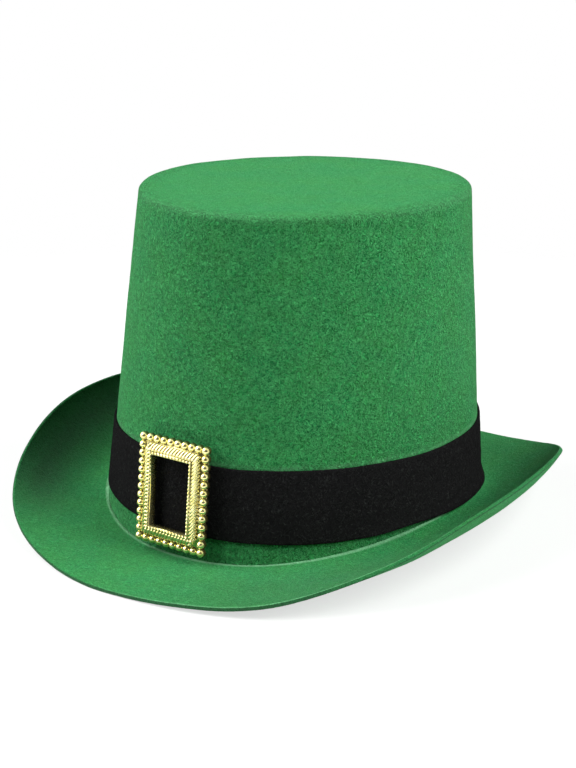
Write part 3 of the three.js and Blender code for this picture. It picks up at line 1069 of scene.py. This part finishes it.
def area_light(name, azimuth, size, power):
    """A square light that faces the hat, placed by its angle from the camera's side."""
    data = bpy.data.lights.new(name, "AREA")
    data.shape = "SQUARE"
    data.size = size
    data.energy = power
    light = bpy.data.objects.new(name, data)
    bpy.context.scene.collection.objects.link(light)
    turn = CAMERA_AZIMUTH + math.radians(azimuth)
    rise = math.radians(LIGHT_ELEVATION)
    way = Vector((math.sin(turn) * math.cos(rise), -math.cos(turn) * math.cos(rise), math.sin(rise)))
    light.location = Vector((0, 0, LIGHT_AIM)) + way * LIGHT_DISTANCE
    light.rotation_euler = (-way).to_track_quat("-Z", "Y").to_euler()
    return light


def make_lights():
    area_light("left", LEFT_AZIMUTH, LEFT_SIZE, LEFT_POWER)
    right = area_light("right", RIGHT_AZIMUTH, RIGHT_SIZE, RIGHT_POWER)
    right.visible_glossy = False


def make_world():
    """White to the camera, nearly dark to felt, and a white tent with a dark lens side to gold."""
    world = bpy.data.worlds.new("studio")
    world.use_nodes = True
    tree = world.node_tree
    tree.nodes.clear()
    path = tree.nodes.new("ShaderNodeLightPath")

    def background(strength):
        node = tree.nodes.new("ShaderNodeBackground")
        node.inputs["Color"].default_value = (1, 1, 1, 1)
        node.inputs["Strength"].default_value = strength
        return node

    def choose(factor, first, second):
        node = tree.nodes.new("ShaderNodeMixShader")
        tree.links.new(factor, node.inputs[0])
        tree.links.new(first.outputs[0], node.inputs[1])
        tree.links.new(second.outputs[0], node.inputs[2])
        return node

    place = tree.nodes.new("ShaderNodeTexCoord")
    toward = tree.nodes.new("ShaderNodeVectorMath")
    toward.operation = "DOT_PRODUCT"
    toward.inputs[1].default_value = LENS_SIDE
    tree.links.new(place.outputs["Generated"], toward.inputs[0])
    dark = tree.nodes.new("ShaderNodeMapRange")
    dark.interpolation_type = "SMOOTHSTEP"
    dark.inputs["From Min"].default_value = math.cos(DARK_OUTER)
    dark.inputs["From Max"].default_value = math.cos(DARK_INNER)
    tree.links.new(toward.outputs["Value"], dark.inputs["Value"])
    tent = choose(dark.outputs["Result"], background(TENT_LIGHT), background(TENT_DARK))
    soft = choose(path.outputs["Is Glossy Ray"], background(FELT_LIGHT), tent)
    whole = choose(path.outputs["Is Camera Ray"], soft, background(1.0))
    output = tree.nodes.new("ShaderNodeOutputWorld")
    tree.links.new(whole.outputs[0], output.inputs["Surface"])
    bpy.context.scene.world = world


def make_floor():
    """A pale floor that fades into the white background away from the hat."""
    n = Nodes("floor")
    place = n.place()
    distance = n.add("ShaderNodeVectorMath", operation="LENGTH")
    n.link(place, distance.inputs[0])
    fade = n.ramp(distance.outputs["Value"], FADE_START, FADE_END)
    fade.node.interpolation_type = "SMOOTHSTEP"
    n.set(Base_Color=(0.9, 0.9, 0.9, 1.0), Roughness=0.9, Specular_IOR_Level=0.1)
    clear = n.add("ShaderNodeBsdfTransparent")
    choose = n.add("ShaderNodeMixShader")
    output = n.tree.nodes["Material Output"]
    path = n.add("ShaderNodeLightPath")
    seen = n.math("MULTIPLY", path.outputs["Is Camera Ray"], FLOOR_CLEAR)
    n.link(n.math("MAXIMUM", fade, seen), choose.inputs[0])
    n.link(n.shader.outputs[0], choose.inputs[1])
    n.link(clear.outputs[0], choose.inputs[2])
    n.link(choose.outputs[0], output.inputs["Surface"])
    half = FLOOR_HALF
    mesh = bpy.data.meshes.new("floor")
    corners = [(-half, -half, 0), (half, -half, 0), (half, half, 0), (-half, half, 0)]
    mesh.from_pydata(corners, [], [(0, 1, 2, 3)])
    mesh.materials.append(n.material)
    floor = bpy.data.objects.new("floor", mesh)
    bpy.context.scene.collection.objects.link(floor)


bpy.context.scene.view_settings.view_transform = "Standard"
make_camera()
make_world()
make_lights()
make_floor()
felt = green_felt()
make_crown(felt)
make_brim(felt)
make_band(black_felt())
make_buckle(gold_plastic())
